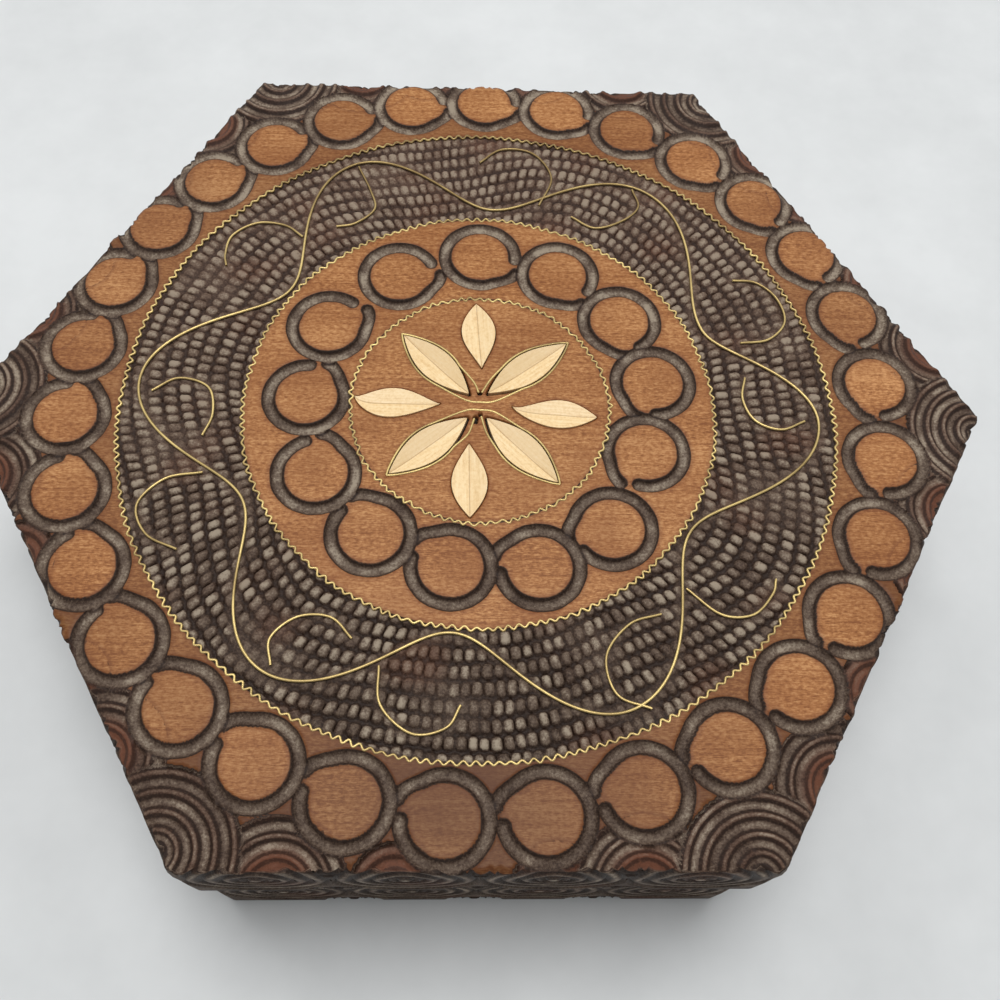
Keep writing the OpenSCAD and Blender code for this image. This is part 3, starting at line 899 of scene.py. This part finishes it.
# Outer piece of the lid's board, from the outer wire to the edge and down it

SIDE_COLS = 220
TOP_ROWS = 57
EDGE_ROWS = 16
ARRIS = 0.7
EDGE_WEAR = 0.3
FAN_EDGE_D = 0.35
UNDER_APOTHEM = LID_APOTHEM - RIM_WALL + 1

EDGE_U = np.tile(np.arange(SIDE_COLS) / SIDE_COLS * 2 - 1, 6)
EDGE_SIDE = np.repeat(np.arange(6), SIDE_COLS)
EDGE_TURN = np.radians(60 * EDGE_SIDE)
EDGE_ALONG = EDGE_U * LID_APOTHEM * TAN30


def on_sides(apothem):
    """Points round the lid on its sides, moved in to an apothem."""
    along = EDGE_U * apothem * TAN30
    x = along * np.cos(EDGE_TURN) + apothem * np.sin(EDGE_TURN)
    y = along * np.sin(EDGE_TURN) - apothem * np.cos(EDGE_TURN)
    return x, y


def edge_scallop():
    """How far the top edge is cut back where the carving on top runs out over it."""
    edge_depth = outer_top(*on_sides(LID_APOTHEM))[0]
    evened = sum(np.roll(edge_depth, shift) for shift in range(-3, 4)) / 7
    return 0.55 * np.clip(evened, 0, 1) + 0.15 * (1 + waves(EDGE_ALONG, 31.0 * EDGE_SIDE, 5, 2.2))


def edge_inset(z, scallop):
    """How far the board's sides lie in at a height, and their look."""
    depth, looks = lid_side_field(EDGE_ALONG, z)
    depth = depth + scallop * (1 - smooth(TOP - z, 0.5, 4.5))
    return depth + EDGE_WEAR * (1 - smooth(TOP - z, 0, ARRIS)), looks


def lid_outer():
    """The whole thickness of the lid's board, with the outer chain and the fans on top."""
    scallop = edge_scallop()
    top_inset, _ = edge_inset(np.full_like(EDGE_U, TOP), scallop)
    end_x, end_y = on_sides(LID_APOTHEM - top_inset)
    edge_x, edge_y = on_sides(LID_APOTHEM)
    length = np.hypot(edge_x, edge_y - WIRE_CENTRE[1])
    start_x = edge_x / length * OUTER_WIRE_R + WIRE_CENTRE[0]
    start_y = (edge_y - WIRE_CENTRE[1]) / length * OUTER_WIRE_R + WIRE_CENTRE[1]
    t = np.linspace(0, 1, TOP_ROWS)[:, None]
    x = start_x + (end_x - start_x) * t
    y = start_y + (end_y - start_y) * t
    depth, looks = outer_top(x, y)
    depth = depth + EDGE_WEAR * (1 - smooth(np.hypot(end_x - x, end_y - y), 0, ARRIS))
    z = TOP - depth
    rows = [row_of(start_x, start_y, POCKET_Z), np.stack([x, y, z], axis=-1)]
    shades = [looks[:1], looks]
    for drop in np.linspace(0, TOP - BOARD_Z, EDGE_ROWS)[1:]:
        row_inset, row_looks = edge_inset(np.full_like(EDGE_U, TOP - drop), scallop)
        row_x, row_y = on_sides(LID_APOTHEM - row_inset)
        rows.append(row_of(row_x, row_y, np.minimum(TOP - drop, z[-1] - 0.02 * drop)))
        shades.append(row_looks[None])
    rows.append(row_of(*on_sides(UNDER_APOTHEM), BOARD_Z))
    shades.append(look(np.full((1, len(EDGE_U)), -2.0), 0.5, 0.0))
    ring_piece("lid_board", np.concatenate(rows), np.concatenate(shades), False, ["lid_board"])


def disc_tones(x, y):
    """Paleness of the discs in the outer rings, each a little different, and -1 elsewhere."""
    tone = np.full_like(x, -1.0)
    for k, ring in enumerate(OUTER_RINGS):
        in_ring = np.hypot(x - ring[0], y - ring[1]) < GOUGE_R
        tone = np.where(in_ring, 0.66 + 0.28 * scatter(k + 3.0), tone)
    return tone


def outer_top(x, y):
    """Carving outside the outer wire: the chain, the flats inside it and the fans outside it."""
    depth, line, inside = chain_field(x, y, OUTER_RINGS, OUTER_CHAIN_CENTRE)
    disc_tone = disc_tones(x, y)
    fan_near, number, fan_warm, arc, raised, beyond = fan_field(x, y)
    past_chain = np.hypot(x, y - OUTER_CHAIN_CENTRE[1]) > OUTER_CHAIN_R
    in_fan = past_chain & (disc_tone < 0) & (inside <= 0) & (beyond <= 0)

    bowl = np.sqrt(1 - (1 - np.clip(fan_near, 0, 1)) ** 2)
    fan_depth = np.where(raised, 0.1 + 0.3 * (1 - smooth(fan_near, 0, 0.35)), 0.4 + 0.5 * bowl)
    fan_depth = fan_depth + 0.12 * scatter(number)
    fan_depth = FAN_EDGE_D + (fan_depth - FAN_EDGE_D) * smooth(-inside, 0.0, 0.5)
    depth = np.where(in_fan, fan_depth, depth) + gouge_marks(x, y, inside)

    fan_tone = 0.45 * (scatter(number, 3.0) - 0.4)
    # Painted light: the chain's grooves get paler towards the back of the lid.
    cut_tone = 0.42 + 0.3 * waves(x, y, 9, 2) + np.where(in_fan, fan_tone, 0.0024 * y)
    # Painted shadow: the flats are darker in a patch near the front middle of the lid.
    painted_shadow = 0.54 * np.exp(-((x + 6) / 36) ** 2 - ((y + 78) / 17) ** 2)
    flat_tone = np.where(disc_tone > 0, disc_tone, np.where(past_chain, 0.22, 0.48)) - painted_shadow
    tone = np.where((inside > 0) | in_fan, cut_tone, flat_tone)

    to_fan = np.where(beyond > 0, beyond, LINE_REACH)
    on_flat = flat_line(x, y, np.minimum(line, to_fan), OUTER_WIRE_R)
    line = np.where(inside > 0, line, np.where(in_fan, np.minimum(line, 1.1), on_flat))
    warm = np.where(in_fan, fan_warm, GROOVE_WARM)
    return depth, look(line, tone, warm, np.where(in_fan, arc, NO_ARC))


# Boards of the body and the lid's rim

FACE_COLS = 211
BODY_ROWS = 54
RIM_ROWS = 24
CARVED_EDGE = 1.5
PLAIN_TONE = 0.6


def board_columns(half, bed):
    """Places along a board, and which of them lie in the bed of a hinge."""
    bed_ends = []
    if bed:
        for middle in (-HINGE_X, HINGE_X):
            for end in (-1, 1):
                bed_ends.append(middle + end * (HINGE_L / 2 + HINGE_BED_GAP))
    along = np.sort(np.concatenate([np.linspace(-half, half, FACE_COLS), bed_ends, bed_ends]))
    in_bed = np.zeros(len(along), bool)
    for lower_end, upper_end in zip(bed_ends[::2], bed_ends[1::2]):
        found = np.where((along >= lower_end - 1e-6) & (along <= upper_end + 1e-6))[0]
        in_bed[found[1:-1]] = True
    return along, in_bed


def turned(points, degrees):
    """Points turned about the box's upright axis."""
    turn = math.radians(degrees)
    x = points[..., 0] * math.cos(turn) - points[..., 1] * math.sin(turn)
    y = points[..., 0] * math.sin(turn) + points[..., 1] * math.cos(turn)
    return np.stack([x, y, points[..., 2]], axis=-1)


def board(name, place, apothem, wall, low, high, field, rows, material, body, bed=None, step=0.0):
    """A mitred side board: its carved face, then its top, inner face and underside."""
    along, in_bed = board_columns(apothem * TAN30, bed)
    top_z = np.where(in_bed & (bed == "top"), high - HINGE_BED_D, high)
    low_z = np.where(in_bed & (bed == "bottom"), low + HINGE_BED_D, low)
    loops = []
    shades = []

    def add(distance, z, looks):
        reach = distance * TAN30
        loops.append(np.stack([np.clip(along, -reach, reach), -distance, z], axis=-1))
        shades.append(looks)

    def plain(distance, z):
        full = np.ones_like(along)
        add(distance * full, z * full, look(-2 * full, PLAIN_TONE, 0))

    for share in np.linspace(0, 1, rows):
        nominal = low + (high - low) * share
        depth, looks = field(along, np.full_like(along, nominal))
        add(apothem - depth, np.clip(nominal, low_z, top_z), looks)
    inner = apothem - wall
    bed_end = apothem - HINGE_BED_W
    plain(apothem - CARVED_EDGE, top_z)
    plain(bed_end, top_z)
    plain(bed_end, high)
    plain(inner, high)
    if step:
        plain(inner, BASE_T)
        plain(inner + step, BASE_T)
        plain(inner + step, low)
    else:
        plain(inner, low)
        plain(bed_end, low)
        plain(bed_end, low_z)
    plain(apothem - CARVED_EDGE, low_z)

    local = np.stack(loops)
    count, cols = local.shape[:2]
    faces = closed_loops(count, cols, True, False)
    for end in (0, cols - 1):
        faces.append([i * cols + end for i in range(count)])
    attributes = wood_attributes(np.stack(shades), local + np.array([137.0 * place, 61.0, 0.0]))
    points = turned(local, 60 * place).reshape(-1, 3)
    make_object(name, points, faces, attributes, material, body, [name], crease=50)


# Wires and leaves

# Points per bend of a crimped wire, and along the vine, a leaf and across it
CRIMP_STEPS = 8
VINE_STEPS = 720
LEAF_ROWS = 44
LEAF_COLS = 21

# How far a leaf's rim lies below its middle, and the depth of the cut along its vein
LEAF_FALL = 0.5
VEIN_D = 0.05


def crimped(r):
    """Path of a crimped wire, which waves from side to side."""
    bends = round(math.pi * r)
    count = bends * CRIMP_STEPS
    a = np.arange(count) / count * 2 * np.pi
    width = 0.38 + 0.07 * np.sin(a * 23 + r) + 0.06 * np.sin(a * 41 + 2 * r)
    slip = 0.7 * np.sin(a * 11 + r) + 0.5 * np.sin(a * 29)
    swing = width * np.sin(a * bends + slip) + 0.12 * np.sin(a * 7 + r) + 0.1 * np.sin(a * 19 + 2 * r)
    radius = r + swing
    return np.column_stack([WIRE_CENTRE[0] + radius * np.cos(a), WIRE_CENTRE[1] + radius * np.sin(a)])


def vine():
    """Path of the vine."""
    azimuth = np.arange(VINE_STEPS) / VINE_STEPS * 360
    radius = vine_radius(azimuth)
    a = np.radians(azimuth)
    return np.column_stack([radius * np.cos(a), radius * np.sin(a)])


def wire(name, paths, half_w, half_h, sunk=0.3, closed=True):
    """Wires whose middles lie sunk below WIRE_TOP."""
    tubes = []
    for path in paths:
        raised = np.column_stack([path, np.full(len(path), WIRE_TOP - sunk)])
        tubes.append(tube(raised, half_w, half_h, closed))
    verts, faces = joined(tubes)
    make_object(name, verts, faces, {}, WIRE_BRASS, "lid", [name])


def both_faces(values):
    """Values of a leaf's top and then of its underside, which runs back across it."""
    return np.concatenate([values, values[:, ::-1]], axis=1)


def leaf_mesh(leaf):
    """Points, faces, distance to the vein, grain and the half of one leaf that gets painted shade."""
    x0, y0, dx, dy, length = leaf_axes(leaf)
    t = (1 - np.cos(np.linspace(0.03, 0.97, LEAF_ROWS) * np.pi)) / 2
    v = np.linspace(-1, 1, LEAF_COLS)
    half = leaf_half_width(t, leaf)
    u_at = np.repeat(t[:, None] * length, len(v), 1)
    v_at = half[:, None] * v[None, :]
    full = np.minimum(half[:, None] / (leaf.width / 2) * 1.3, 1)
    height = LEAF_TOP - LEAF_FALL * (1 - np.abs(v))[None, :] * full
    height = height - VEIN_D * np.exp(-(v_at / 0.2) ** 2)
    across = v_at + leaf_bend(t, leaf)[:, None]
    x = x0 + u_at * dx - across * dy
    y = y0 + u_at * dy + across * dx
    top = np.stack([x, y, height], axis=-1)
    bottom = np.stack([x, y, np.full_like(x, LEAF_LOW)], axis=-1)[:, ::-1]
    points = np.concatenate([top, bottom], axis=1)
    faces = tube_faces(*points.shape[:2], False)
    line = both_faces(np.abs(v_at))
    grain = both_faces(np.stack([u_at, v_at, 0 * u_at + x0], axis=-1))
    far = both_faces(smooth(v_at * np.sign(dx), -0.1, 0.1))
    return points.reshape(-1, 3), faces, line.ravel(), grain.reshape(-1, 3), far.ravel()


def leaves(name, shapes, shade_strength):
    """Leaves with one half of each darkened by painted shade."""
    points, faces, line, grain, far = zip(*[leaf_mesh(leaf) for leaf in shapes])
    verts, all_faces = joined(zip(points, faces))
    attributes = {"line": np.concatenate(line), "grain": np.vstack(grain),
                  "far": shade_strength * np.concatenate(far)}
    make_object(name, verts, all_faces, attributes, LEAF_WOOD, "lid", [name], crease=35)


def leaf_edge(leaf, side):
    """Way of a wire beside a leaf, from beyond its outer tip inward. Side 1 is the leaf's left."""
    x0, y0, dx, dy, length = leaf_axes(leaf)
    t = np.linspace(0.97, 0.3, 9)
    v = side * (leaf_half_width(t, leaf) + WIRED_BED + 0.12)
    u = t * length
    beyond = (x0 + (length + 0.6) * dx, y0 + (length + 0.6) * dy)
    return [beyond] + list(zip(x0 + u * dx - v * dy, y0 + u * dy + v * dx))


LEAF_WIRE_PATHS = [
    leaf_edge(UPPER_LEFT, 1) + [(-3, 1.8), (0, 1.3), (3, 1.6)] + leaf_edge(UPPER_RIGHT, -1)[::-1],
    leaf_edge(UPPER_LEFT, -1) + [(-1.3, 6), (-0.3, 3.5)],
    leaf_edge(UPPER_RIGHT, 1) + [(2, 6.5), (0.3, 3.5)],
    leaf_edge(LOWER_LEFT, -1) + [(-3, -0.7), (0, -0.5), (3, -1)] + leaf_edge(LOWER_RIGHT, 1)[::-1],
    leaf_edge(LOWER_LEFT, 1) + [(-2.4, -6), (-1.2, -2.5)],
    leaf_edge(LOWER_RIGHT, -1) + [(1.2, -5.6), (0.2, -2)],
]


# The pieces, and the materials of the CAD nodes that stay

lid_centre()
lid_inner_chain()
lid_band()
lid_outer()

for k, side_name in enumerate(SIDES):
    at_back = side_name == "back"
    board("body_side_" + side_name, k, BODY_APOTHEM, WALL, 0.0, BODY_TOP, body_side_field, BODY_ROWS,
          BODY_WOOD, "root", bed="top" if at_back else None, step=BASE_STEP)
    board("lid_rim_" + side_name, k, LID_APOTHEM, RIM_WALL, RIM_Z, BOARD_Z, lid_side_field, RIM_ROWS,
          RIM_WOOD, "lid", bed="bottom" if at_back else None)

for ring_name, ring_r in [("inner", INNER_WIRE_R), ("middle", MIDDLE_WIRE_R), ("outer", OUTER_WIRE_R)]:
    wire(ring_name + "_crimped_wire", [crimped(ring_r)], 0.25, 0.3)
wire("vine_wire", [vine()], 0.28, 0.3)
wire("vine_tendrils", [spline(path) for path in TENDRILS], 0.25, 0.28, sunk=0.32, closed=False)
wire("leaf_wires", [spline(path) for path in LEAF_WIRE_PATHS], 0.25, 0.25, sunk=0.25, closed=False)

leaves("wired_leaves", WIRED_LEAVES, 0.6)
leaves("plain_leaves", PLAIN_LEAVES, 0.2)

for node_name, node_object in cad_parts.items():
    if node_name == "base_panel":
        chosen = INSIDE_WOOD
    elif "hinge" in node_name:
        chosen = HINGE_BRASS
    else:
        continue
    for material_slot in node_object.material_slots:
        material_slot.material = chosen


# Floor, light and camera

FLOOR_REACH = 1.6
FLOOR_Z = -0.0002
FLOOR_STOPS = [(0.35, rgb(212, 214, 214)), (0.6, rgb(224, 226, 226))]
LAMP_AIM = Vector((0, 0, 0.04))

# The camera looks straight down before it is rolled, tilted and turned
TILT = math.radians(25.54)
YAW = math.radians(-4.98)
ROLL = math.radians(5.09)
CAMERA_PLACE = (-0.0051, -0.1074, 0.232)
SENSOR_W = 36
LENS = 1.0505 * SENSOR_W

scene = bpy.context.scene


def floor_material():
    g = Graph("pale_floor")
    where = g.node("ShaderNodeTexCoord", {}, output="Object")
    clouds = g.noise(where, 9.0, 4.0, 0.6)
    marks = g.noise(where, 55.0, 3.0, 0.7)
    colour = g.ramp(g.total([(clouds, 0.7), (marks, 0.3)]), FLOOR_STOPS)
    g.set(Base_Color=colour, Roughness=0.6)
    return g.material


def add_floor():
    mesh = bpy.data.meshes.new("floor")
    corners = [(-1, -1), (1, -1), (1, 1), (-1, 1)]
    mesh.from_pydata([(x * FLOOR_REACH, y * FLOOR_REACH, 0) for x, y in corners], [], [(0, 1, 2, 3)])
    mesh.materials.append(floor_material())
    floor = bpy.data.objects.new("floor", mesh)
    floor.location = (0, 0, FLOOR_Z)
    scene.collection.objects.link(floor)


def studio_world():
    """A soft fill light, and a pale background where the camera or a reflection sees it."""
    world = bpy.data.worlds.new("studio")
    world.use_nodes = True
    nodes = world.node_tree.nodes
    links = world.node_tree.links
    fill = nodes["Background"]
    fill.inputs["Color"].default_value = (0.97, 0.985, 1.0, 1)
    fill.inputs["Strength"].default_value = 0.32
    seen = nodes.new("ShaderNodeBackground")
    seen.inputs["Color"].default_value = (0.9, 0.92, 0.94, 1)
    rays = nodes.new("ShaderNodeLightPath")
    seen_rays = rays.outputs["Is Camera Ray"]
    for kind in ("Is Glossy Ray", "Is Transmission Ray"):
        either = nodes.new("ShaderNodeMath")
        either.operation = "MAXIMUM"
        links.new(seen_rays, either.inputs[0])
        links.new(rays.outputs[kind], either.inputs[1])
        seen_rays = either.outputs[0]
    choice = nodes.new("ShaderNodeMixShader")
    links.new(seen_rays, choice.inputs[0])
    links.new(fill.outputs[0], choice.inputs[1])
    links.new(seen.outputs[0], choice.inputs[2])
    links.new(choice.outputs[0], nodes["World Output"].inputs["Surface"])
    return world


def lamp(name, place, size, power):
    """A square lamp that shines at the box."""
    data = bpy.data.lights.new(name, "AREA")
    data.shape = "SQUARE"
    data.size = size
    data.energy = power
    turn = (LAMP_AIM - Vector(place)).to_track_quat("-Z", "Y")
    obj = bpy.data.objects.new(name, data)
    obj.matrix_world = Matrix.Translation(place) @ turn.to_matrix().to_4x4()
    scene.collection.objects.link(obj)


def add_camera():
    data = bpy.data.cameras.new("camera")
    data.sensor_width = SENSOR_W
    data.lens = LENS
    data.shift_x = 0.0071
    data.shift_y = 0.0066
    data.clip_start = 0.01
    turn = Matrix.Rotation(YAW, 4, "Z") @ Matrix.Rotation(TILT, 4, "X") @ Matrix.Rotation(ROLL, 4, "Z")
    camera = bpy.data.objects.new("camera", data)
    camera.matrix_world = Matrix.Translation(CAMERA_PLACE) @ turn
    scene.collection.objects.link(camera)
    scene.camera = camera


add_floor()
scene.world = studio_world()
lamp("window_left", (-0.62, 0.72, 1.05), size=0.7, power=2.9)
lamp("window_right", (0.62, 0.72, 1.05), size=0.7, power=2.5)
lamp("ceiling", (0.0, 0.12, 1.35), size=0.6, power=10.0)
add_camera()
scene.view_settings.view_transform = "Standard"
